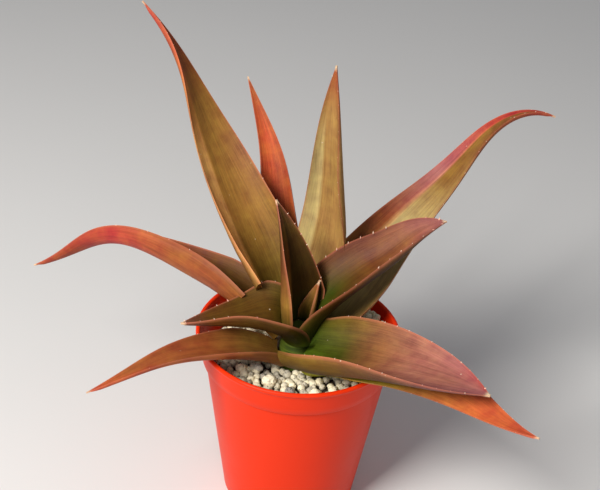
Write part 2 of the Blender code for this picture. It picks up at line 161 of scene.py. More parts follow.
# On leaves with a crease, the left strip's paler colours are partly the leaf's own and partly painted highlight on the
# facet beyond the fold.
# From the heart of the rosette outwards: each leaf gives way to those before it where their bases crowd.
LEAVES = (
    leaf("leaf_bud", "leaf_gold", 0.020, 0.010, 0.0015, 0.0040, 0.0030, 40,
         (40, 40, 40), (80, 75, 65), LEVEL, (80, 70, 50),
         "forest ochre gold rust", "forest olive ochre rust", "forest ochre gold rust", "forest olive ochre rust",
         base=0.9, teeth=(0.5, 0.95), tooth=0.5),
    leaf("leaf_heart", "leaf_olive", 0.058, 0.0305, 0.0025, 0.0040, 0.0025, 137,
         (140, 140, 142), (87, 84, 79, 70, 58), (0, 0, -3), (85, 79, 53, 40),
         "ochre ochre bronze umber plum", "forest dark dark dark umber", "forest dark dark umber plum",
         "forest ochre bronze dark plum", crease=0.1, teeth=(0.35, 0.97), tooth=0.7),
    leaf("leaf_right_inner", "leaf_rose", 0.079, 0.031, 0.0030, 0.0045, 0.0005, 23,
         (14, 17, 23), (74, 48, 32, 38, 0), (-2, 9, 16), (88, 60, 78, 32),
         "forest bronze plum rose mauve", "forest forest bronze tan mauve", "olive bronze tan rose mauve",
         "forest dark dark umber plum", hold=2.2, tooth=1.1),
    leaf("leaf_left_short", "leaf_bronze", 0.053, 0.039, 0.0032, 0.0045, 0.0, 207,
         (209, 198, 203), (69, 20, 6, 4, 7), (-25, 15, 13), (88, 51, 50, 40),
         "forest umber umber bronze plum", "forest umber umber umber plum", "forest umber umber bronze plum",
         "forest dark umber bronze plum", base=0.75, cup=0.010),
    leaf("leaf_back_upright", "leaf_gold", 0.124, 0.029, 0.0030, 0.0115, -0.0040, 80,
         (68, 54, 60), (49, 72, 94, 97, 86), (14, -7, 9), (75, 47, 69, 27),
         "moss khaki khaki khaki khaki gold brick", "lime gold gold gold gold gold brick",
         "moss gold gold gold gold tan brick",
         "moss gold gold gold brick", base=0.7, hold=1.6, crease=0.5, tooth=0.5),
    leaf("leaf_back_left_tall", "leaf_gold", 0.157, 0.036, 0.0034, 0.0090, -0.0045, 126,
         (133, 136, 168), (62, 47, 52, 62, 45), (8, -9, 34), (86, 60, 22, 42),
         "honey honey honey honey amber orange crimson", "moss olive ochre ochre ochre rust orange",
         "moss olive ochre tan ochre rust crimson", "moss bronze bronze gold rust crimson", crease=0.45, tooth=0.5),
    leaf("leaf_front_right_broad", "leaf_rose", 0.093, 0.0445, 0.0034, 0.0110, -0.0050, 284,
         (318, 326, 326), (16, 22, 18, 14, 4), (15, -2, 2), (90, 75, 44, 15),
         "forest olive tan rose mauve crimson", "green forest tan rose rose mauve",
         "olive ochre tan rose mauve mauve", "olive olive umber umber plum plum", hold=2.3, tooth=0.9),
    leaf("leaf_right_long", "leaf_gold", 0.153, 0.038, 0.0034, 0.0095, -0.0075, 46,
         (37, 34, 12), (34, 50, 38, 46, -24), (13, -9, -14), (62, 20, 15, 45),
         "olive ochre rust mauve crimson crimson", "moss khaki khaki ochre ochre rust",
         "ochre gold khaki gold rust crimson", "forest olive moss ochre rust crimson",
         hold=1.2, crease=0.4, tooth=0.5),
    leaf("leaf_left_arching", "leaf_rust", 0.144, 0.032, 0.0034, 0.0100, -0.0045, 140,
         (160, 156, 162), (35, 14, 6, -36, -30), (0, 38, 33), (55, 85, 55, 40),
         "olive bronze rust crimson crimson", "umber umber bronze brick crimson", "umber bronze brick crimson crimson",
         "ochre rust rust crimson brick brick", tooth=0.8),
    leaf("leaf_front_left_low", "leaf_rust", 0.097, 0.0205, 0.0034, 0.0095, -0.0105, 218,
         (213, 218, 217), (36, 22, 13, -5, -5), (-2, -3, 15), (64, 49, 29, 32),
         "ochre ochre rust rust orange orange", "ochre ochre rust rust rust orange",
         "ochre ochre rust rust rust orange", "ochre rust rust brick orange", tooth=0.4),
    leaf("leaf_back_slender", "leaf_rust", 0.120, 0.025, 0.0028, 0.0125, -0.0110, 102,
         (112, 108, 125), (47, 49, 68, 42, 50), (5, -6, -8), (62, 64, 48, 19),
         "bronze brick orange orange orange", "bronze bronze brick orange rust", "bronze bronze brick brick rust",
         "bronze bronze bronze brick rust", base=0.7, tooth=0.3),
    leaf("leaf_front_right_low", "leaf_rust", 0.114, 0.030, 0.0032, 0.0130, -0.0115, 316,
         (326, 323, 312), (34, 28, 4, -4, 20), (5, 28, -3), (54, 24, 10, 5),
         "lime lime amber orange orange", "lime lime amber orange orange", "lime lime amber orange orange",
         "lime lime bronze orange orange", hold=1.3, tooth=0.4),
)

# The blade: where it is widest, how sharp its tip is, how its flesh thins to the margins and the tip, how deep a
# cup may be for its curl, and how far the points across it crowd towards the margins.
WIDEST_AT = 0.25
TIP_SHARE = 0.02
THINNING = 0.72
EDGE_THICKNESS = 0.0008
TIP_EDGE_SHARE = 0.25
TIP_EDGE_STARTS = 0.3
LEAST_THICKNESS = 0.0003
CUP_SHARE = 0.7
CROWDING = 0.45

# Room between neighbours, the stem's outline, and the pale stretch at a blade's tip and along its margin.
LEAF_GAP = 0.0004
STEM_GAP = 0.0003
STEM_TIP_RADIUS = 0.0028
STEM_NARROWING = 0.42
STEM_SHOULDER_DROP = 0.0100
PALE_TIP = 0.0014
PALE_MARGIN = 0.00024
BLADE_MAP = "blade"
SHARP_EDGE = math.radians(50)

# The copies of a leaf that cut its neighbours clear: sections along it, and points across each face.
CUTTER_GRID = (35, 9)

# The leaf whose shade is kept free of grit, and the bank of grit against the back wall.
SHADED_BY = "leaf_left_short"
SHADED_ROOM = 0.0040
HEAP_FOOT = 0.024
HEAP_TOP = 0.031
HEAP_SPREAD = 0.0032
HEAP_REACH = math.radians(36)
GRIT_DENSITY = 400000.0


def evenly(values, count):
    """A smooth run of count values through evenly spaced ones, from the first to the last."""
    v = np.array(values, float)
    v = np.concatenate([[2 * v[0] - v[1]], v, [2 * v[-1] - v[-2]]])
    t = np.linspace(0, len(values) - 1, count)
    i = np.minimum(t.astype(int), len(values) - 2)
    f = t - i
    a, b, c, d = v[i], v[i + 1], v[i + 2], v[i + 3]
    return 0.5 * (2 * b + (c - a) * f + (2 * a - 5 * b + 4 * c - d) * f**2 + (3 * b - a - 3 * c + d) * f**3)


def spine(blade, count):
    """Points down the middle of a leaf's upper face, and the along, side and up directions at each."""
    finer = max(1, round(136 / (count - 1)))
    total = (count - 1) * finer + 1
    rise = np.radians(evenly(blade.rise, total))
    heading = np.radians(evenly(blade.heading, total))
    roll = np.radians(evenly(blade.roll, total))
    along = np.stack([np.cos(rise) * np.cos(heading), np.cos(rise) * np.sin(heading), np.sin(rise)], 1)
    steps = (along[1:] + along[:-1]) / 2 * blade.length / (total - 1)
    first = math.radians(blade.around)
    foot = (blade.foot * math.cos(first), blade.foot * math.sin(first), POT_HIGH.z + blade.above)
    points = np.array(foot) + np.concatenate([np.zeros((1, 3)), np.cumsum(steps, 0)])
    level = np.stack([-np.sin(heading), np.cos(heading), np.zeros(total)], 1)
    upright = np.cross(along, level)
    c, s = np.cos(roll)[:, None], np.sin(roll)[:, None]
    side = c * level + s * upright
    up = -s * level + c * upright
    return points[::finer], along[::finer], side[::finer], up[::finer]


def half_width(blade, t):
    """Half the blade's width at each share t of its length."""
    grow = np.clip(t / WIDEST_AT, 0, 1)
    grow = blade.base + (1 - blade.base) * grow * grow * (3 - 2 * grow)
    past = np.clip((t - WIDEST_AT) / (1 - WIDEST_AT), 0, 1)
    return blade.width / 2 * grow * np.maximum(1 - past ** blade.hold, TIP_SHARE)


def ripple(blade, along, across):
    """A slow, slight unevenness of living flesh at a place on the blade, from -1 to 1."""
    place = Vector((along * blade.length / 0.016, across * 1.3, blade.around))
    return noise.noise(place)


def blade_sections(blade, stations, across, swell=0.0, relief=0.0, cup=0.0):
    """Closed sections along a leaf, each from margin to margin over the upper face and back under the lower, with
    the margins rounded off. Swell grows the whole blade outwards and cup thickens it over its upper face, for
    cutting its neighbours clear of it."""
    t = np.linspace(0, 1, stations)
    points, along, side, up = spine(blade, stations)
    points[0] -= along[0] * swell
    points[-1] += along[-1] * swell
    half = half_width(blade, t)
    fold = np.radians(evenly(blade.fold, stations))
    thick = blade.thick * (1 - THINNING * t**1.2)
    even = np.linspace(-1, 1, across)
    v = (1 - CROWDING) * even + CROWDING * np.sin(even * math.pi / 2)
    rounding = np.sqrt(np.clip(1 - np.abs(v) ** 14, 0, 1))
    rings = []
    for i in range(stations):
        curl = fold[i] * v
        reach = (half[i] + swell) / fold[i]
        x = reach * np.sin(curl)
        y = reach * (1 - np.cos(curl))
        narrow = min(1, half[i] / (TIP_EDGE_STARTS * blade.width))
        edge = EDGE_THICKNESS * (TIP_EDGE_SHARE + (1 - TIP_EDGE_SHARE) * narrow)
        body = thick[i] * (1 - np.abs(v) ** 2.2) + edge * rounding
        body = np.minimum(body, 1.1 * half[i] * rounding + LEAST_THICKNESS * rounding) + swell
        over = np.full(across, swell + min(cup, CUP_SHARE * reach))
        if relief:
            over += relief * np.array([ripple(blade, t[i], w) for w in v]) * (1 - np.abs(v) ** 3)
        upper = points[i] + np.outer(x - np.sin(curl) * over, side[i])
        upper += np.outer(y + np.cos(curl) * over, up[i])
        lower = points[i] + np.outer(x + np.sin(curl) * body, side[i])
        lower += np.outer(y - np.cos(curl) * body, up[i])
        rings.append(np.concatenate([upper, lower[-2:0:-1]]))
    return t, v, np.array(rings)


def blade_object(blade, name, stations, across, swell=0.0, relief=0.0, cup=0.0):
    """A leaf as a closed mesh. Its UV map runs once round the section, upper face first, and from base to tip."""
    t, v, rings = blade_sections(blade, stations, across, swell, relief, cup)
    around = rings.shape[1]
    turn = [(w + 1) / 4 for w in v] + [1 - (w + 1) / 4 for w in v[-2:0:-1]] + [1.0]
    faces, places = [], []
    for i in range(stations - 1):
        for j in range(around):
            k = (j + 1) % around
            faces.append((i * around + j, i * around + k, (i + 1) * around + k, (i + 1) * around + j))
            places += [(turn[j], t[i]), (turn[j + 1], t[i]), (turn[j + 1], t[i + 1]), (turn[j], t[i + 1])]
    for i in (0, stations - 1):
        for j in range(across - 1):
            corners = [j, j + 1, (around - j - 1) % around, (around - j) % around]
            corners = list(dict.fromkeys(corners))
            faces.append([i * around + c for c in corners])
            places += [(turn[c], t[i]) for c in corners]
    mesh = mesh_of(name, rings.reshape(-1, 3).tolist(), faces)
    mesh.uv_layers.new(name=BLADE_MAP).data.foreach_set("uv", np.array(places, np.float32).ravel())
    outward(mesh)
    return placed(name, mesh)


# Mesh helpers

def mesh_of(name, points, faces, edges=()):
    """A mesh of these points and the faces or edges that join them."""
    mesh = bpy.data.meshes.new(name)
    mesh.from_pydata(points, edges, faces)
    return mesh


def store(mesh, name, values, kind="FLOAT", domain="POINT"):
    """Stores a value for each point or corner of the mesh, for a shader or a geometry tree to read."""
    held = mesh.attributes.new(name, kind, domain).data
    held.foreach_set("value" if kind == "FLOAT" else "vector", np.array(values, np.float32).ravel())


def points_of(mesh):
    """The mesh's points, one to a row."""
    return np.array([vertex.co for vertex in mesh.vertices])


def pressed(point, low, high):
    """The point, pressed onto the box if it stands outside."""
    return [min(max(point[k], low[k]), high[k]) for k in range(3)]


def placed(name, mesh):
    """An object at the origin that holds this mesh."""
    made = bpy.data.objects.new(name, mesh)
    bpy.context.scene.collection.objects.link(made)
    return made


def outward(mesh):
    """Turns a closed mesh's faces to point out, and shades it smooth but for its sharp edges."""
    body = bmesh.new()
    body.from_mesh(mesh)
    bmesh.ops.recalc_face_normals(body, faces=body.faces)
    body.to_mesh(mesh)
    body.free()
    mesh.shade_smooth()
    mesh.set_sharp_from_angle(angle=SHARP_EDGE)


def turned(name, profile, segments):
    """A solid of revolution about Z from (radius, height) points that start and end on the axis, or that close
    into a ring when they never touch it."""
    points, rings = [], []
    for radius, height in profile:
        if radius == 0:
            rings.append([len(points)] * segments)
            points.append((0, 0, height))
            continue
        rings.append(list(range(len(points), len(points) + segments)))
        for k in range(segments):
            angle = 2 * math.pi * k / segments
            points.append((radius * math.cos(angle), radius * math.sin(angle), height))
    pairs = list(zip(rings, rings[1:]))
    if profile[0][0] != 0:
        pairs.append((rings[-1], rings[0]))
    faces = []
    for low, high in pairs:
        for k in range(segments):
            n = (k + 1) % segments
            faces.append(list(dict.fromkeys([low[k], low[n], high[n], high[k]])))
    mesh = mesh_of(name, points, faces)
    outward(mesh)
    return placed(name, mesh)


def baked(piece):
    """The piece with its modifiers made part of its mesh."""
    bpy.context.view_layer.update()
    graph = bpy.context.evaluated_depsgraph_get()
    mesh = bpy.data.meshes.new_from_object(piece.evaluated_get(graph), depsgraph=graph)
    piece.modifiers.clear()
    old, piece.data = piece.data, mesh
    bpy.data.meshes.remove(old)
    mesh.name = piece.name
    return piece


def carved(piece, cutters):
    """The piece with every cutter taken away, keeping its largest part. The cutters are removed."""
    for cutter in cutters:
        cut = piece.modifiers.new(cutter.name, "BOOLEAN")
        cut.operation = "DIFFERENCE"
        cut.solver = "EXACT"
        cut.object = cutter
    baked(piece)
    for cutter in cutters:
        bpy.data.objects.remove(cutter)
    body = bmesh.new()
    body.from_mesh(piece.data)
    parts, seen = [], set()
    for start in body.verts:
        if start in seen:
            continue
        part, reach = [], [start]
        seen.add(start)
        while reach:
            vertex = reach.pop()
            part.append(vertex)
            for edge in vertex.link_edges:
                other = edge.other_vert(vertex)
                if other not in seen:
                    seen.add(other)
                    reach.append(other)
        parts.append(part)
    parts.sort(key=len)
    for part in parts[:-1]:
        bmesh.ops.delete(body, geom=part, context="VERTS")
    body.to_mesh(piece.data)
    body.free()
    piece.data.set_sharp_from_angle(angle=SHARP_EDGE)
    return piece


def tree_of(piece):
    """A search tree over the piece's surface."""
    return BVHTree.FromObject(piece, bpy.context.evaluated_depsgraph_get())


def finished(piece, surface, slot, *nodes):
    """Gives the piece its material and its place in the frame, and lets it stand for these CAD nodes."""
    piece.data.materials.clear()
    piece.data.materials.append(surface)
    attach(piece, "root")
    if nodes:
        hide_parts(*nodes)
    return piece


def near_cad(piece, node, allowance):
    """Raises an error if the piece's box strays from its CAD node's by more than the allowance."""
    points = points_of(piece.data)
    low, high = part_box(node)
    stray = max(np.abs(points.min(0) - low).max(), np.abs(points.max(0) - high).max())
    if stray > allowance:
        raise RuntimeError(f"{piece.name} strays {stray * 1000:.1f} mm from {node}")


def held_within(piece, node):
    """Presses the few points of the piece that stand outside its CAD node's box back onto it."""
    low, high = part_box(node)
    for vertex in piece.data.vertices:
        vertex.co = pressed(vertex.co, low, high)


# Node trees

class Wiring:
    """Builds a node tree. A value that is a socket is linked instead of stored."""

    def __init__(self, tree):
        self.tree = tree

    def set(self, node, values):
        """Gives the node's inputs these values."""
        for key, value in values.items():
            socket = node.inputs[key]
            if isinstance(value, bpy.types.NodeSocket):
                self.tree.links.new(value, socket)
            elif socket.type == "RGBA":
                socket.default_value = (*value, 1.0)
            else:
                socket.default_value = value

    def add(self, kind, values=None, **settings):
        """A new node of this kind, with these settings and input values."""
        made = self.tree.nodes.new(kind)
        for key, value in settings.items():
            setattr(made, key, value)
        self.set(made, values or {})
        return made

    def out(self, kind, values=None, output=0, **settings):
        """One output of a new node."""
        return self.add(kind, values, **settings).outputs[output]

    def body(self):
        """The place on the piece."""
        return self.out("ShaderNodeTexCoord", output="Object")

    def maths(self, operation, *values):
        return self.out("ShaderNodeMath", dict(enumerate(values)), operation=operation)

    def times(self, value, gain):
        return self.maths("MULTIPLY", value, gain)

    def scaled(self, value, gain, base):
        return self.maths("MULTIPLY_ADD", value, gain, base)

    def swing(self, value, gain, base):
        """The base, moved by how far the value lies from a half."""
        return self.scaled(self.maths("SUBTRACT", value, 0.5), gain, base)

    def noise(self, vector, scale, detail=2.0, roughness=0.5):
        values = {"Vector": vector, "Scale": scale, "Detail": detail, "Roughness": roughness}
        return self.out("ShaderNodeTexNoise", values, "Fac")

    def ramp(self, value, low, high):
        """The value carried from low..high to 0..1, and held there outside it."""
        values = {"Value": value, "From Min": low, "From Max": high}
        return self.out("ShaderNodeMapRange", values, interpolation_type="SMOOTHSTEP")

    def mix(self, share, first, second):
        return self.out("ShaderNodeMix", {0: share, 6: first, 7: second}, 2, data_type="RGBA")

    def shift(self, vector, move):
        return self.out("ShaderNodeVectorMath", {0: vector, 1: move}, operation="ADD")

    def stretch(self, vector, scale):
        return self.out("ShaderNodeMapping", {"Vector": vector, "Scale": scale})

    def bump(self, height, strength, distance):
        return self.out("ShaderNodeBump", {"Height": height, "Strength": strength, "Distance": distance}, "Normal")

    def read(self, name, kind="FLOAT"):
        """An attribute of the mesh, in a geometry tree."""
        return self.out("GeometryNodeInputNamedAttribute", {"Name": name}, data_type=kind)

    def chance(self, low, high, seed):
        """A random number between low and high."""
        return self.out("FunctionNodeRandomValue", {2: low, 3: high, "Seed": seed}, 1, data_type="FLOAT")

    def finish(self, instances, material):
        """Ends a geometry tree in a mesh of this material."""
        solid = self.out("GeometryNodeRealizeInstances", {"Geometry": instances})
        dressed = self.out("GeometryNodeSetMaterial", {"Geometry": solid, "Material": material})
        self.add("NodeGroupOutput", {"Geometry": dressed})


def group(name, kind, inputs, outputs):
    """An empty node group, its wiring and its inputs, each of which is named with its default or with its type."""
    tree = bpy.data.node_groups.new(name, kind)
    for label, value in inputs.items():
        socket_type = value if isinstance(value, str) else {float: "Float", int: "Int"}[type(value)]
        socket = tree.interface.new_socket(label, in_out="INPUT", socket_type="NodeSocket" + socket_type)
        if value != socket_type:
            socket.default_value = value
    for label, socket_type in outputs.items():
        tree.interface.new_socket(label, in_out="OUTPUT", socket_type="NodeSocket" + socket_type)
    wires = Wiring(tree)
    return tree, wires, wires.add("NodeGroupInput").outputs


SURFACE = {"Color": "Color", "Roughness": "Float", "Normal": "Vector"}


def skin_group():
    """Waxy leaf skin: fine streaks along the blade, mottling, a pale margin and a few scabs."""
    if "leaf_skin" in bpy.data.node_groups:
        return bpy.data.node_groups["leaf_skin"]
    tree, w, given = group("leaf_skin", "ShaderNodeTree", {
        "Tint": "Color", "Margin": 0.0, "Width": 30.0, "Length": 100.0, "Seed": 0.0, "Streaks": 1.0,
    }, SURFACE)
    place = w.add("ShaderNodeSeparateXYZ", {0: w.out("ShaderNodeUVMap", uv_map=BLADE_MAP)}).outputs
    across = w.times(w.times(place[0], 2.0), given["Width"])
    along = w.times(place[1], given["Length"])

    def streak(wide, long, detail):
        spot = {0: w.maths("DIVIDE", across, wide), 1: w.maths("DIVIDE", along, long), 2: given["Seed"]}
        return w.noise(w.out("ShaderNodeCombineXYZ", spot), 1.0, detail, 0.55)

    shifted = w.shift(w.body(), given["Seed"])
    fine, broad = streak(0.36, 14.0, 4.0), streak(2.6, 30.0, 2.0)
    mottle = w.noise(shifted, 130.0, 3.0, 0.6)
    grain = w.noise(shifted, 2600.0, 1.0)
    cells = w.add("ShaderNodeTexVoronoi", {"Vector": shifted, "Scale": 230.0}).outputs
    chosen = w.ramp(w.out("ShaderNodeSeparateColor", {0: cells["Color"]}), 0.90, 0.93)
    ragged = w.scaled(w.noise(shifted, 1500.0, 2.0), 0.14, cells["Distance"])
    scab = w.times(chosen, w.ramp(ragged, 0.17, 0.12))
    value = w.times(w.maths("SUBTRACT", fine, 0.5), given["Streaks"])
    value = w.swing(broad, 0.75, w.scaled(value, 1.1, 1.0))
    colour = w.out("ShaderNodeHueSaturation", {
        "Color": given["Tint"], "Hue": w.swing(mottle, 0.045, 0.5), "Value": w.swing(mottle, 0.8, value),
    })
    colour = w.mix(w.times(given["Margin"], 0.5), colour, tone(206, 120, 92))
    colour = w.mix(w.times(scab, 0.6), colour, tone(228, 206, 178))
    rough = w.scaled(scab, 0.25, w.scaled(mottle, 0.22, 0.42))
    height = w.scaled(fine, 0.8, w.times(grain, 0.18))
    height = w.scaled(broad, 1.1, w.scaled(scab, 0.5, height))
    w.add("NodeGroupOutput", {"Color": colour, "Roughness": rough, "Normal": w.bump(height, 0.65, 0.00026)})
    return tree


def porous_group():
    """Foamed volcanic stone: pits darkened with painted shade, crumbly bumps and dark mineral flecks, on one light and
    one dark colour.
    """
    if "porous_stone" in bpy.data.node_groups:
        return bpy.data.node_groups["porous_stone"]
    inputs = {"Light": "Color", "Dark": "Color", "Shade": 0.5, "Flecks": 0.3}
    tree, w, given = group("porous_stone", "ShaderNodeTree", inputs, SURFACE)
    body = w.body()
    pits = w.out("ShaderNodeTexVoronoi", {"Vector": body, "Scale": 900.0, "Randomness": 1.0}, "Distance")
    crumble = w.noise(body, 700.0, 4.0, 0.65)
    pit = w.times(w.ramp(pits, 0.30, 0.10), w.ramp(crumble, 0.42, 0.56))
    amount = w.times(given["Flecks"], w.ramp(given["Shade"], 0.35, 0.85))
    flecks = w.times(w.ramp(w.noise(body, 1150.0, 2.0, 0.7), 0.60, 0.66), amount)
    toned = w.scaled(given["Shade"], 0.75, w.times(w.noise(body, 260.0, 2.0), 0.5))
    colour = w.mix(w.ramp(toned, 0.25, 1.35), given["Light"], given["Dark"])
    colour = w.out("ShaderNodeHueSaturation", {"Color": colour, "Value": w.scaled(crumble, 0.7, 0.68)})
    # The pits are darkened with painted shade.
    colour = w.mix(w.times(pit, 0.75), colour, tone(70, 60, 48))
    colour = w.mix(flecks, colour, tone(34, 34, 36))
    height = w.maths("SUBTRACT", crumble, w.times(pit, 0.7))
    rough = w.scaled(crumble, 0.2, 0.75)
    w.add("NodeGroupOutput", {"Color": colour, "Roughness": rough, "Normal": w.bump(height, 0.8, 0.0007)})
    return tree


def new_material(name):
    """An empty material, its wiring and its Principled BSDF."""
    made = bpy.data.materials.new(name)
    made.use_nodes = True
    return made, Wiring(made.node_tree), made.node_tree.nodes["Principled BSDF"]


def covered(w, shader, cover, values):
    """Places a surface group with these values, and links what it puts out to the shader."""
    put_out = w.add("ShaderNodeGroup", values, node_tree=cover).outputs
    w.set(shader, {"Base Color": put_out["Color"], "Roughness": put_out["Roughness"], "Normal": put_out["Normal"]})


def flesh(weight, radius):
    """Shader values for a body that lets a little light through."""
    return {"Subsurface Weight": weight, "Subsurface Radius": radius, "Subsurface Scale": 1.0}


def leaf_material(blade, number, look):
    """One leaf's skin: its painted strips under streaks and mottling, with a soft waxy sheen."""
    made, w, shader = new_material("skin_" + blade.name)
    covered(w, shader, skin_group(), {
        "Tint": w.out("ShaderNodeAttribute", output="Color", attribute_name="tint"),
        "Margin": w.out("ShaderNodeAttribute", output="Fac", attribute_name="margin"),
        "Width": blade.width * 1000, "Length": blade.length * 1000,
        "Seed": 3.7 * number, "Streaks": look.streaks,
    })
    w.set(shader, {"Specular IOR Level": look.wax, **flesh(0.06, (0.0020, 0.0012, 0.0005))})
    return made


def stone_material(name, light, dark, flecks):
    """Porous stone whose share of light and dark comes from each stone's own shade."""
    made, w, shader = new_material(name)
    shade = w.out("ShaderNodeAttribute", output="Fac", attribute_name="shade")
    covered(w, shader, porous_group(), {"Shade": shade, "Light": light, "Dark": dark, "Flecks": flecks})
    w.set(shader, {"Specular IOR Level": 0.25})
    return made


def pot_material(look):
    """Satin moulded plastic: a faint orange-peel skin, rubbed patches and fine handling marks."""
    made, w, shader = new_material("moulded_plastic")
    body = w.body()
    marks = w.noise(w.stretch(body, (60.0, 60.0, 420.0)), 4.0, 5.0, 0.7)
    rubbed = w.noise(body, 38.0, 3.0, 0.6)
    peel = w.noise(body, 1500.0, 2.0)
    height = w.out("ShaderNodeSeparateXYZ", {0: body}, 2)
    faded = w.scaled(rubbed, 0.35, w.times(w.ramp(marks, 0.55, 0.8), 0.25))
    pale = tuple(min(1.0, part * 1.1 + 0.006) for part in look.colour)
    # Darker and browner towards the bottom of the pot, in patches.
    soil_line = w.times(w.ramp(height, 0.010, 0.0), w.ramp(rubbed, 0.4, 0.7))
    colour = w.mix(w.times(soil_line, 0.25), w.mix(faded, look.colour, pale), tone(120, 60, 40))
    w.set(shader, {
        "Base Color": colour,
        "Roughness": w.scaled(w.ramp(marks, 0.5, 0.75), 0.10, w.scaled(rubbed, 0.16, 0.30)),
        "Normal": w.bump(w.scaled(marks, 0.4, w.times(peel, 0.5)), 0.25, 0.00008),
        "Specular IOR Level": 0.13, **flesh(0.08, (0.0030, 0.0008, 0.0003)),
    })
    return made


def soil_material():
    """Dark, damp, fibrous potting mix."""
    made, w, shader = new_material("soil")
    crumbs = w.noise(w.body(), 520.0, 5.0, 0.7)
    patches = w.noise(w.body(), 110.0, 2.0)
    colour = w.mix(w.ramp(crumbs, 0.35, 0.7), tone(26, 20, 16), tone(86, 66, 50))
    w.set(shader, {
        "Base Color": w.mix(w.times(patches, 0.4), colour, tone(44, 38, 32)),
        "Roughness": w.scaled(crumbs, 0.3, 0.7), "Normal": w.bump(crumbs, 0.9, 0.0012),
    })
    return made


def stem_material():
    """Green stem skin with pale rings where old leaves were."""
    made, w, shader = new_material("stem_skin")
    rings = w.noise(w.stretch(w.body(), (60.0, 60.0, 900.0)), 1.0, 3.0)
    w.set(shader, {
        "Base Color": w.mix(w.ramp(rings, 0.4, 0.65), tone(56, 72, 16), tone(88, 106, 32)),
        "Roughness": w.scaled(rings, 0.2, 0.45), "Normal": w.bump(rings, 0.6, 0.0004),
    })
    return made


def tooth_material():
    """Horny, ivory margin teeth, pinker towards the root."""
    made, w, shader = new_material("tooth_horn")
    pink = w.ramp(w.noise(w.body(), 240.0, 2.0), 0.35, 0.65)
    w.set(shader, {
        "Base Color": w.mix(pink, tone(244, 214, 190), tone(226, 150, 130)),
        "Roughness": w.scaled(w.noise(w.body(), 900.0), 0.2, 0.35),
    })
    return made


# Geometry trees

def teeth_tree():
    """Teeth set along margin lines, leaning as the line's outward arrows point."""
    tree, w, given = group("margin_teeth", "GeometryNodeTree", {
        "Geometry": "Geometry", "Spacing": 0.005, "Length": 0.001, "Root Radius": 0.0003, "Missing": 0.1,
        "Seed": 1, "Material": "Material",
    }, {"Geometry": "Geometry"})
    lines = w.out("GeometryNodeMeshToCurve", {"Mesh": given["Geometry"]})
    spaced = w.out("GeometryNodeResampleCurve", {"Curve": lines, "Length": given["Spacing"]}, mode="LENGTH")
    cone = w.out("GeometryNodeMeshCone", {
        "Vertices": 7, "Side Segments": 2, "Radius Bottom": given["Root Radius"], "Depth": given["Length"],
    }, "Mesh")
    sunk = w.out("ShaderNodeCombineXYZ", {2: w.times(given["Length"], -0.3)})
    cone = w.out("GeometryNodeTransform", {"Geometry": cone, "Translation": sunk})
    turn = w.out("FunctionNodeAlignRotationToVector", {"Vector": w.read("outward", "FLOAT_VECTOR")}, axis="Z")
    present = w.maths("SUBTRACT", 1.0, given["Missing"])
    kept = w.out("FunctionNodeRandomValue", {"Probability": present, "Seed": given["Seed"]}, 3, data_type="BOOLEAN")
    w.finish(w.out("GeometryNodeInstanceOnPoints", {
        "Points": spaced, "Selection": kept, "Instance": cone, "Rotation": turn,
        "Scale": w.times(w.read("tooth"), w.chance(0.5, 1.15, given["Seed"])),
    }), given["Material"])
    return tree


def grit_tree():
    """Small porous grains strewn over a surface wherever its open attribute allows."""
    tree, w, given = group("strewn_grit", "GeometryNodeTree", {
        "Geometry": "Geometry", "Spacing": 0.003, "Density": 200000.0, "Smallest": 0.0012, "Largest": 0.0022,
        "Seed": 1, "Material": "Material",
    }, {"Geometry": "Geometry"})
    strewn = w.out("GeometryNodeDistributePointsOnFaces", {
        "Mesh": given["Geometry"], "Distance Min": given["Spacing"], "Density Max": given["Density"],
        "Density Factor": w.read("open"), "Seed": given["Seed"],
    }, "Points", distribute_method="POISSON")
    kinds = w.add("GeometryNodeJoinGeometry")
    for number in range(4):
        ball = w.out("GeometryNodeMeshIcoSphere", {"Radius": 1.0, "Subdivisions": 2})
        place = w.out("GeometryNodeInputPosition")
        lump = w.scaled(w.noise(w.shift(place, (7.0 * number,) * 3), 1.6, 2.0), 1.1, -0.55)
        push = w.out("ShaderNodeVectorMath", {0: place, "Scale": lump}, operation="SCALE")
        grain = w.out("GeometryNodeSetPosition", {"Geometry": ball, "Offset": push})
        w.set(kinds, {0: w.out("GeometryNodeGeometryToInstance", {0: grain})})
    pick = w.out("FunctionNodeRandomValue", {4: 0, 5: 3, "Seed": given["Seed"]}, 2, data_type="INT")
    spin = w.out("FunctionNodeRandomValue", {
        0: (0.0, 0.0, 0.0), 1: (6.28, 6.28, 6.28), "Seed": given["Seed"],
    }, data_type="FLOAT_VECTOR")
    grains = w.out("GeometryNodeInstanceOnPoints", {
        "Points": strewn, "Instance": kinds.outputs[0], "Pick Instance": True, "Instance Index": pick,
        "Rotation": spin, "Scale": w.chance(given["Smallest"], given["Largest"], given["Seed"]),
    })
    w.finish(w.out("GeometryNodeStoreNamedAttribute", {
        "Geometry": grains, "Name": "shade", "Value": w.chance(0.0, 1.0, 11),
    }, data_type="FLOAT", domain="INSTANCE"), given["Material"])
    return tree


def grown(piece, tree, **values):
    """The piece turned into what a geometry tree makes of it, as a plain mesh."""
    modifier = piece.modifiers.new(tree.name, "NODES")
    modifier.node_group = tree
    for item in tree.interface.items_tree:
        label = item.name.lower().replace(" ", "_")
        if item.in_out == "INPUT" and label in values:
            modifier[item.identifier] = values[label]
    return baked(piece)


# Settings, by kind: each is given its name, what it is for and its usual value.

def metres(name, about, value):
    return FloatProperty(name=name, description=about, default=value, unit="LENGTH")


def degrees(name, about, value):
    return FloatProperty(name=name, description=about, default=math.radians(value), subtype="ANGLE", unit="ROTATION")


def plain(name, about, value):
    return FloatProperty(name=name, description=about, default=value)


def whole(name, about, value):
    return IntProperty(name=name, description=about, default=value)


def hue(name, about, value):
    return FloatVectorProperty(name=name, description=about, default=value, subtype="COLOR")


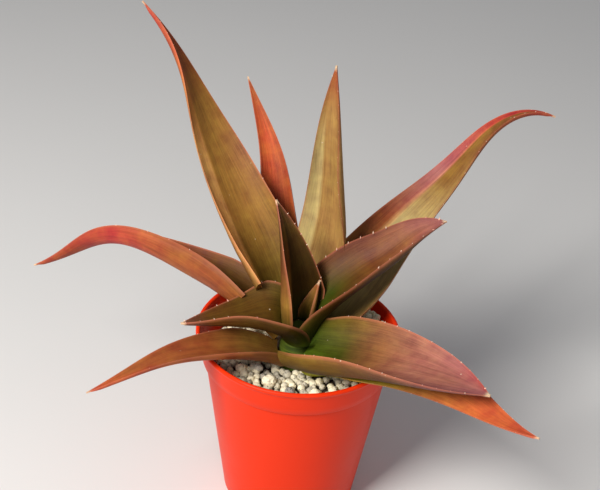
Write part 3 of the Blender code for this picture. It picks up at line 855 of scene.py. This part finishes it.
class PotSettings(bpy.types.PropertyGroup):
    """The nursery pot"""

    band_height: metres("Band Height", "Height of the plain band under the rim", 0.0134)
    band_step: metres("Band Step", "How far the band stands out from the wall", 0.0014)
    lip_height: metres("Lip Height", "Height of the rolled lip", 0.0020)
    wall: metres("Wall", "Thickness of the plastic", 0.0013)
    foot_radius: metres("Foot Radius", "Radius of the pot where it meets its base", 0.0307)
    foot_rounding: metres("Foot Rounding", "Radius of the corner round the base", 0.0030)
    drain_holes: whole("Drain Holes", "Holes in a ring through the base", 8)
    drain_radius: metres("Drain Radius", "Radius of each drain hole", 0.0030)
    drain_ring: metres("Drain Ring", "Radius of the ring of holes", 0.0200)
    segments: whole("Segments", "Facets round the pot", 160)
    colour: hue("Plastic", "Colour of the plastic", (0.74, 0.030, 0.002))


class DressingSettings(bpy.types.PropertyGroup):
    """The potting mix and its pumice dressing"""

    grit_spacing: metres("Grit Spacing", "Least distance between grains", 0.0027)
    grit_smallest: metres("Smallest Grain", "Radius of the smallest grains", 0.0013)
    grit_largest: metres("Largest Grain", "Radius of the largest grains", 0.0023)
    heap_height: metres("Heap Height", "Height of the grit banked against the back wall", 0.0108)
    heap_turn: degrees("Heap Turn", "Where round the pot the bank of grit lies", 29)
    grit_seed: whole("Grit Seed", "Chooses where the grains fall", 4)
    stone_bumps: plain("Stone Bumps", "How crumbly the stones are, as a share of radius", 0.13)
    pumice: hue("Pumice", "Colour of clean pumice", tone(255, 244, 212))
    ash: hue("Ash", "Colour of the greyest stones", tone(158, 152, 142))


class LeafSettings(bpy.types.PropertyGroup):
    """The rosette"""

    stations: whole("Stations", "Sections along each leaf", 137)
    across: whole("Across", "Points across each face of a leaf", 19)
    relief: metres("Relief", "Height of the slow unevenness of the upper face", 0.00018)
    streaks: plain("Streaks", "Strength of the fine streaks", 0.85)
    wax: plain("Wax", "Strength of the waxy sheen", 0.17)
    tooth_spacing: metres("Tooth Spacing", "Distance between margin teeth", 0.0055)
    tooth_length: metres("Tooth Length", "Length of a full-sized margin tooth", 0.0012)


class StageSettings(bpy.types.PropertyGroup):
    """The floor, the lights and the camera"""

    pitch: degrees("Pitch", "How far the camera looks down", 32.4)
    tilt: degrees("Tilt", "How far the camera is turned about its own line of sight", 4.0)
    lens: plain("Lens", "Focal length of the camera in millimetres", 72.0)
    place: FloatVectorProperty(name="Place", description="Where the camera stands", subtype="TRANSLATION",
                               unit="LENGTH", default=(-0.0021, -0.4237, 0.4006))
    floor: hue("Floor", "Colour of the floor", (0.74, 0.735, 0.73))
    key: plain("Key Light", "Power of the main light in watts", 13.5)
    fill: plain("Fill Light", "Power of the front light in watts", 1.0)
    sky: plain("Sky", "Strength of the light from all round", 0.24)


# Pieces

def corner(middle, radius, start, stop, steps):
    """Points round an arc in the profile plane, angles in degrees."""
    angles = [math.radians(start + (stop - start) * k / steps) for k in range(steps + 1)]
    return [(middle[0] + radius * math.cos(a), middle[1] + radius * math.sin(a)) for a in angles]


def pot_profile(look):
    """The pot's section, from the middle of its base up the outside, over the lip and down the inside."""
    top, rim = POT_HIGH.z, POT_HIGH.x
    band_foot = top - look.band_height
    lip = look.lip_height
    band_top = rim - 0.0011
    band_low = band_top - 0.0018
    wall_top = band_low - look.band_step
    r = look.foot_rounding
    foot = look.foot_radius
    t = look.wall

    def wall_at(height):
        return foot + (height - r) / (band_foot - r) * (wall_top - foot)

    outside = corner((foot - r, r), r, -90, 0, 10)
    outside += [(wall_at(h), h) for h in np.linspace(r, band_foot - 0.0006, 24)[1:]]
    step = [(wall_top, band_foot - 0.0002), (wall_top + 0.0002, band_foot), (band_low - 0.0003, band_foot + 0.0002),
            (band_low, band_foot + 0.0006)]
    band = [(band_low + s * (band_top - band_low), band_foot + 0.0006 + s * (look.band_height - lip - 0.0010))
            for s in (0.3, 0.6, 0.9, 1.0)]
    over = corner((rim - lip / 2, top - lip / 2), lip / 2, -70, 180, 16)
    inner_band = rim - 0.0020
    inside = [(inner_band, top - lip), (band_low - t, band_foot + 2 * t), (wall_top - t, band_foot)]
    inside += [(wall_at(h) - t, h) for h in np.linspace(band_foot, r + t, 12)[1:]]
    inside += corner((foot - r - t / 2, r + t), r - t / 2, 0, -90, 5)[1:-1]
    return [(0, 0), *outside, *step, *band, *over, *inside, (foot - r - t, t), (0, t)]


class SUCCULENT_OT_pot(bpy.types.Operator):
    """Turns the nursery pot, with its lip, band and ring of drain holes"""

    bl_idname = "succulent.pot"
    bl_label = "Pot"

    def execute(self, context):
        look = context.scene.succulent_pot
        pot = turned("nursery_pot", pot_profile(look), look.segments)
        punches = []
        for k in range(look.drain_holes):
            angle = 2 * math.pi * (k + 0.5) / look.drain_holes
            ends = [(0, -look.wall), (look.drain_radius, -look.wall), (look.drain_radius, 2 * look.wall),
                    (0, 2 * look.wall)]
            punch = turned("punch", ends, 28)
            place = (look.drain_ring * math.cos(angle), look.drain_ring * math.sin(angle), 0)
            punch.data.transform(Matrix.Translation(place))
            punches.append(punch)
        carved(pot, punches)
        near_cad(pot, "pot", allowance=0.0005)
        finished(pot, pot_material(look), "pot", "pot")
        return {"FINISHED"}


def mix_shape():
    """The mix as its CAD node has it: the heights of its top, of its hollow round the stem and of the socket under
    that, the radii of the socket and the hollow, where the slope ends and where the wall is, and its lower rim."""
    points = points_of(frame["nodes"]["potting_mix"].data)
    radii, heights = np.hypot(points[:, 0], points[:, 1]), points[:, 2]

    def at(height):
        return radii[np.abs(heights - height) < 1e-5]

    base, top = MIX_LOW.z, heights.max()
    base_radius = at(base).max()
    socket = radii[(heights > base + 0.001) & (radii > 0.001)].min()
    by_stem = heights[np.abs(radii - socket) < 1e-4]
    shoulder = heights[(heights > base + 1e-4) & (radii > base_radius + 1e-4)].min()
    return SimpleNamespace(
        top=top, inner=by_stem.max(), socket_floor=by_stem.min(), socket=socket, hollow=at(by_stem.max()).max(),
        slope=at(top).min(), wall=at(top).max(), base=base, base_radius=base_radius, shoulder=shoulder,
        shoulder_radius=at(shoulder).max(),
    )


def mix_height(mix, reach):
    """The height of the mix this far from the axis."""
    share = min(1.0, max(0.0, (reach - mix.hollow) / (mix.slope - mix.hollow)))
    return mix.inner + (mix.top - mix.inner) * share


class SUCCULENT_OT_mix(bpy.types.Operator):
    """Fills the pot with dark, crumbly mix, hollowed a little round the stem"""

    bl_idname = "succulent.mix"
    bl_label = "Potting Mix"

    def execute(self, context):
        mix = mix_shape()
        rise, spread = mix.top - mix.shoulder, mix.wall - mix.shoulder_radius
        profile = [(0, mix.base), (mix.base_radius, mix.base), (mix.shoulder_radius, mix.shoulder)]
        profile += [(mix.shoulder_radius + s * spread, mix.shoulder + s * rise) for s in (0.25, 0.5, 0.75, 0.97)]
        profile += [(reach, mix_height(mix, reach)) for reach in np.linspace(mix.wall, mix.socket, 44)]
        profile += [(mix.socket, mix.socket_floor), (0, mix.socket_floor)]
        soil = turned("soil", profile, 140)
        for vertex in soil.data.vertices:
            reach = math.hypot(vertex.co.x, vertex.co.y)
            if vertex.co.z > mix.inner - 1e-5 and mix.socket + 0.0003 < reach < mix.wall - 0.0002:
                crumb = noise.fractal(vertex.co * 330, 0.6, 2.0, 3)
                vertex.co.z -= 0.0007 * (0.5 + 0.5 * crumb)
        finished(soil, soil_material(), "potting_mix", "potting_mix")
        return {"FINISHED"}


def stem_solid(name, swell, rings):
    """The stem as a solid of revolution, grown outwards by swell, with this many rings up its straight part."""
    radius = STEM_HIGH.x + swell
    tip = STEM_TIP_RADIUS + swell
    shoulder = STEM_HIGH.z - STEM_SHOULDER_DROP
    waist = STEM_HIGH.x - STEM_NARROWING * (STEM_HIGH.x - STEM_TIP_RADIUS) + swell
    top = STEM_HIGH.z + swell
    profile = [(0, STEM_LOW.z), *((radius, z) for z in np.linspace(STEM_LOW.z, shoulder, rings)),
               (waist, (shoulder + STEM_HIGH.z) / 2), (tip, top), (0, top)]
    return turned(name, profile, 96)


class SUCCULENT_OT_stem(bpy.types.Operator):
    """Makes the short stem, ringed by the scars of old leaves"""

    bl_idname = "succulent.stem"
    bl_label = "Stem"

    def execute(self, context):
        stem = stem_solid("stem_core", 0.0, 60)
        for vertex in stem.data.vertices:
            scar = noise.noise(Vector((0, 0, vertex.co.z * 900)))
            lump = noise.noise(vertex.co * 220)
            pull = 1 - 0.035 * abs(scar) - 0.02 * (1 + lump)
            vertex.co.x *= pull
            vertex.co.y *= pull
        near_cad(stem, "stem", allowance=0.0010)
        finished(stem, stem_material(), "stem", "stem")
        return {"FINISHED"}


def strip(names, t):
    """The colours of a strip at each share t of the blade's length."""
    colours = np.array([PALETTE[name] for name in names])
    stops = np.linspace(0, 1, len(names))
    return np.stack([np.interp(t, stops, colours[:, part]) for part in range(3)], 1)


def paint(blade, mesh):
    """Stores the blade's colour, with a painted highlight along any crease and partly over the strip beyond it, and
    how near each corner is to the margin, as the shader reads them.
    """
    places = np.zeros(len(mesh.loops) * 2, np.float32)
    mesh.uv_layers[BLADE_MAP].data.foreach_get("uv", places)
    round_it, t = places[0::2], np.clip(places[1::2], 0, 1)
    upper = round_it <= 0.5
    v = np.where(upper, 4 * round_it - 1, 3 - 4 * round_it)
    near = np.abs(v)
    middle, under = strip(blade.middle, t), strip(blade.under, t)
    side = np.where((v > 0)[:, None], strip(blade.left, t), strip(blade.right, t))
    soft = near**1.4
    # Past a crease the left strip takes over sharply; its paler colour there is partly the leaf's own and partly
    # painted highlight on the facet beyond the fold.
    if blade.crease:
        past = np.clip((v - blade.crease) / 0.08 + 0.5, 0, 1)
        soft = np.where(v > 0, past * past * (3 - 2 * past), soft)
    share = np.where(upper, soft, near**6 * 0.6)[:, None]
    colour = np.where(upper[:, None], middle, under) * (1 - share) + side * share
    # A painted highlight along the crease brightens the colour there.
    if blade.crease:
        ridge = np.where(upper, np.exp(-((v - blade.crease) / 0.05) ** 2), 0)[:, None]
        colour *= 1 + 0.45 * ridge
    point = np.clip((t - 1) * blade.length / PALE_TIP + 1.6, 0, 1)[:, None]
    colour = colour * (1 - point) + np.array(PALETTE["cream"]) * point
    tint = np.concatenate([colour, np.ones((len(colour), 1))], 1)
    gap = (1 - near) * half_width(blade, t)
    margin = np.exp(-gap / PALE_MARGIN) * np.clip(t / 0.12, 0, 1)
    mesh.color_attributes.new("tint", "FLOAT_COLOR", "CORNER").data.foreach_set(
        "color", tint.astype(np.float32).ravel())
    store(mesh, "margin", margin, domain="CORNER")


class SUCCULENT_OT_leaves(bpy.types.Operator):
    """Grows every leaf, cut clear of the stem and of the leaves inside it"""

    bl_idname = "succulent.leaves"
    bl_label = "Leaves"

    def execute(self, context):
        look = context.scene.succulent_leaves
        for number, blade in enumerate(LEAVES):
            name = blade.name.replace("leaf_", "blade_")
            made = blade_object(blade, name, look.stations, look.across, relief=look.relief)
            own = tree_of(made)
            cutters = [stem_solid("stem_cutter", STEM_GAP, 2)]
            for inner in LEAVES[:number]:
                cutters.append(blade_object(inner, "cutter_" + inner.name, *CUTTER_GRID, LEAF_GAP))
                if inner.cup:
                    cutters.append(blade_object(inner, "cup_" + inner.name, *CUTTER_GRID, LEAF_GAP, cup=inner.cup))
            touching = [cutter for cutter in cutters if own.overlap(tree_of(cutter))]
            for cutter in cutters:
                if cutter not in touching:
                    bpy.data.objects.remove(cutter)
            if touching:
                carved(made, touching)
            paint(blade, made.data)
            near_cad(made, blade.name, allowance=0.0030)
            held_within(made, blade.name)
            finished(made, leaf_material(blade, number, look), blade.slot, blade.name)
        return {"FINISHED"}


class SUCCULENT_OT_teeth(bpy.types.Operator):
    """Sets the horny teeth along the leaf margins"""

    bl_idname = "succulent.teeth"
    bl_label = "Margin Teeth"

    def execute(self, context):
        look = context.scene.succulent_leaves
        points, edges, arrows, sizes = [], [], [], []
        for blade in LEAVES:
            t, v, rings = blade_sections(blade, look.stations, look.across)
            _, along, side, up = spine(blade, look.stations)
            fold = np.radians(evenly(blade.fold, look.stations))
            first, last = blade.teeth
            toothed = [i for i in range(look.stations) if first <= t[i] <= last]
            for edge, sign in ((0, -1), (look.across - 1, 1)):
                for i in toothed:
                    out = sign * math.cos(fold[i]) * side[i] + math.sin(fold[i]) * up[i] + 0.6 * along[i]
                    if i > toothed[0]:
                        edges.append((len(points) - 1, len(points)))
                    points.append(tuple(rings[i, edge]))
                    arrows.append(out / np.linalg.norm(out))
                    sizes.append(blade.tooth * (0.65 + 0.6 * t[i]))
        mesh = mesh_of("margin_teeth", points, [], edges)
        store(mesh, "outward", arrows, "FLOAT_VECTOR")
        store(mesh, "tooth", sizes)
        horn = tooth_material()
        teeth = grown(placed("margin_teeth", mesh), teeth_tree(), spacing=look.tooth_spacing,
                      length=look.tooth_length, root_radius=look.tooth_length * 0.27, missing=0.2, seed=3,
                      material=horn)
        teeth.data.shade_smooth()
        finished(teeth, horn, "leaf_rose")
        return {"FINISHED"}


class SUCCULENT_OT_stones(bpy.types.Operator):
    """Weathers each stone of the dressing into crumbly pumice"""

    bl_idname = "succulent.stones"
    bl_label = "Stones"

    def execute(self, context):
        look = context.scene.succulent_dressing
        choose = random.Random(STONE_SEED)
        pumice = stone_material("pumice", look.pumice, look.ash, 0.85)
        ash = stone_material("ash_stone", tone(196, 190, 176), tone(104, 102, 104), 1.0)
        for number, node in enumerate(STONES, 1):
            body = bmesh.new()
            body.from_mesh(frame["nodes"][node].data)
            bmesh.ops.remove_doubles(body, verts=body.verts, dist=1e-6)
            mesh = bpy.data.meshes.new(node)
            body.to_mesh(mesh)
            body.free()
            stone = placed(node.replace("stone_", "pumice_"), mesh)
            smooth = stone.modifiers.new("rounding", "SUBSURF")
            smooth.levels = smooth.render_levels = 3
            baked(stone)
            low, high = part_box(node)
            middle = (low + high) / 2
            radius = (high.x - low.x + high.y - low.y) / 4
            shift = Vector((choose.uniform(-9, 9), choose.uniform(-9, 9), choose.uniform(-9, 9)))
            for vertex in stone.data.vertices:
                spoke = (vertex.co - middle).normalized()
                place = spoke * 1.35 + shift
                lump = noise.noise(place)
                crumb = noise.voronoi(place * 2.1)[0][0]
                fine = noise.fractal(place * 5.5, 0.7, 2.0, 3)
                grow = 1.13 + 0.16 * lump + look.stone_bumps * (1.0 - 2.2 * crumb) + 0.045 * fine
                vertex.co = pressed(middle + (vertex.co - middle) * grow, low, high)
            shade = choose.random() ** 1.6
            store(stone.data, "shade", np.full(len(stone.data.vertices), shade))
            stone.data.shade_smooth()
            grey = int(node.split("_")[1]) % GREY_STONE_EVERY == 0
            finished(stone, ash if grey else pumice, "grey_stone" if grey else "pumice", node)
        return {"FINISHED"}


class SUCCULENT_OT_grit(bpy.types.Operator):
    """Strews small grains between the stones, clear of the leaves and the wall"""

    bl_idname = "succulent.grit"
    bl_label = "Grit"

    def execute(self, context):
        look = context.scene.succulent_dressing
        mix = mix_shape()
        blades = []
        for blade in LEAVES:
            room = look.grit_largest + (SHADED_ROOM if blade.name == SHADED_BY else 0)
            blades.append((tree_of(bpy.data.objects[blade.name.replace("leaf_", "blade_")]), room))
        stones = []
        for node in STONES:
            low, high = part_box(node)
            stones.append(((low + high) / 2, (high.x - low.x) / 2))
        rings, spokes = 46, 150
        points, faces, free = [], [], []
        nearest = mix.socket + look.grit_largest
        for layer in (0, 0.3, 0.65, 1):
            start = len(points)
            edge = mix.wall + HEAP_SPREAD * layer - 1.2 * look.grit_largest
            for i in range(rings):
                reach = nearest + (edge - nearest) * i / (rings - 1)
                ground = mix_height(mix, reach) + look.grit_smallest * 0.8
                climb = min(1.0, max(0.0, (reach - HEAP_FOOT) / (HEAP_TOP - HEAP_FOOT)))
                for k in range(spokes):
                    turn = 2 * math.pi * k / spokes
                    off = (turn - look.heap_turn) / HEAP_REACH
                    heap = look.heap_height * layer * climb * max(0.0, 1 - off * off)
                    point = Vector((reach * math.cos(turn), reach * math.sin(turn), ground + heap))
                    points.append(tuple(point))
                    clear = (not layer or heap >= look.grit_smallest) and all(
                        (tree.find_nearest(point)[3] or 1) > room for tree, room in blades)
                    apart = clear and all((point - middle).length > 0.85 * radius for middle, radius in stones)
                    free.append(1.0 if apart else 0.0)
            for i in range(rings - 1):
                for k in range(spokes):
                    n = (k + 1) % spokes
                    here, there = start + i * spokes, start + (i + 1) * spokes
                    faces.append((here + k, there + k, there + n, here + n))
        mesh = mesh_of("grit", points, faces)
        store(mesh, "open", free)
        surface = stone_material("grit", look.pumice, look.ash, 0.9)
        grit = grown(placed("grit", mesh), grit_tree(), spacing=look.grit_spacing, density=GRIT_DENSITY,
                     smallest=look.grit_smallest, largest=look.grit_largest, seed=look.grit_seed,
                     material=surface)
        grit.data.shade_smooth()
        finished(grit, surface, "pumice")
        return {"FINISHED"}


class SUCCULENT_OT_stage(bpy.types.Operator):
    """Lays the pale floor and sets the lights and the camera"""

    bl_idname = "succulent.stage"
    bl_label = "Stage"

    def execute(self, context):
        look = context.scene.succulent_stage
        scene = context.scene
        corners = [(x * FLOOR_REACH, y * FLOOR_REACH, 0) for x, y in ((-1, -1), (1, -1), (1, 1), (-1, 1))]
        floor = placed("floor", mesh_of("floor", corners, [(0, 1, 2, 3)]))
        made, w, shader = new_material("floor_paper")
        shade = tuple(part * 0.97 for part in look.floor)
        w.set(shader, {"Base Color": w.mix(w.noise(w.body(), 6.0, 3.0), look.floor, shade), "Roughness": 0.85})
        floor.data.materials.append(made)
        floor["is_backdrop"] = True

        def light(name, place, aim, size, power, colour):
            lamp = bpy.data.lights.new(name, "AREA")
            lamp.size = size
            lamp.energy = power
            lamp.color = colour
            made = bpy.data.objects.new(name, lamp)
            made.location = place
            made.rotation_euler = (Vector(aim) - Vector(place)).to_track_quat("-Z", "Y").to_euler()
            scene.collection.objects.link(made)

        light("key_light", (-0.50, -0.56, 0.78), (0, 0, 0.09), 0.38, look.key, (1.0, 0.97, 0.92))
        light("fill_light", (0.10, -0.95, 0.55), (0, 0, 0.09), 0.6, look.fill, (0.97, 0.98, 1.0))
        world = bpy.data.worlds.new("room_light")
        world.use_nodes = True
        Wiring(world.node_tree).set(world.node_tree.nodes["Background"], {
            "Color": (0.93, 0.95, 1.0), "Strength": look.sky,
        })
        scene.world = world
        scene.view_settings.view_transform = "Standard"
        camera = bpy.data.objects.new("camera", bpy.data.cameras.new("camera"))
        camera.data.lens = look.lens
        camera.data.sensor_width = 36.0
        camera.data.clip_start = 0.01
        level = Matrix.Rotation(math.pi / 2 - look.pitch, 4, "X")
        camera.matrix_world = Matrix.Translation(look.place) @ level @ Matrix.Rotation(look.tilt, 4, "Z")
        scene.collection.objects.link(camera)
        scene.camera = camera
        return {"FINISHED"}


STEPS = (SUCCULENT_OT_pot, SUCCULENT_OT_mix, SUCCULENT_OT_stem, SUCCULENT_OT_leaves, SUCCULENT_OT_teeth,
         SUCCULENT_OT_stones, SUCCULENT_OT_grit, SUCCULENT_OT_stage)
SETTINGS = {
    "succulent_pot": PotSettings,
    "succulent_dressing": DressingSettings,
    "succulent_leaves": LeafSettings,
    "succulent_stage": StageSettings,
}


class SUCCULENT_PT_panel(bpy.types.Panel):
    """Lists the pieces of the plant and the sizes that shape them"""

    bl_idname = "SUCCULENT_PT_panel"
    bl_label = "Potted Succulent"
    bl_space_type = "VIEW_3D"
    bl_region_type = "UI"
    bl_category = "Succulent"

    def draw(self, context):
        for step in STEPS:
            self.layout.operator(step.bl_idname)
        for name, kind in SETTINGS.items():
            box = self.layout.box()
            box.label(text=kind.__doc__)
            for key in kind.__annotations__:
                box.prop(getattr(context.scene, name), key)


def register():
    """Registers the settings, the operators and the panel."""
    for name, kind in SETTINGS.items():
        bpy.utils.register_class(kind)
        setattr(bpy.types.Scene, name, PointerProperty(type=kind))
    for kind in (*STEPS, SUCCULENT_PT_panel):
        bpy.utils.register_class(kind)


def unregister():
    """Removes what register added."""
    for kind in (SUCCULENT_PT_panel, *reversed(STEPS)):
        bpy.utils.unregister_class(kind)
    for name, kind in SETTINGS.items():
        delattr(bpy.types.Scene, name)
        bpy.utils.unregister_class(kind)


def main():
    """Builds the whole plant and its stage, and gathers its box and the frame's."""
    register()
    for step in STEPS:
        area, action = step.bl_idname.split(".")
        getattr(getattr(bpy.ops, area), action)()
    sizes = {"cad": [list(corner) for corner in CAD_BOX], "visual": [list(corner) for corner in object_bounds()]}


if __name__ == "__main__":
    main()
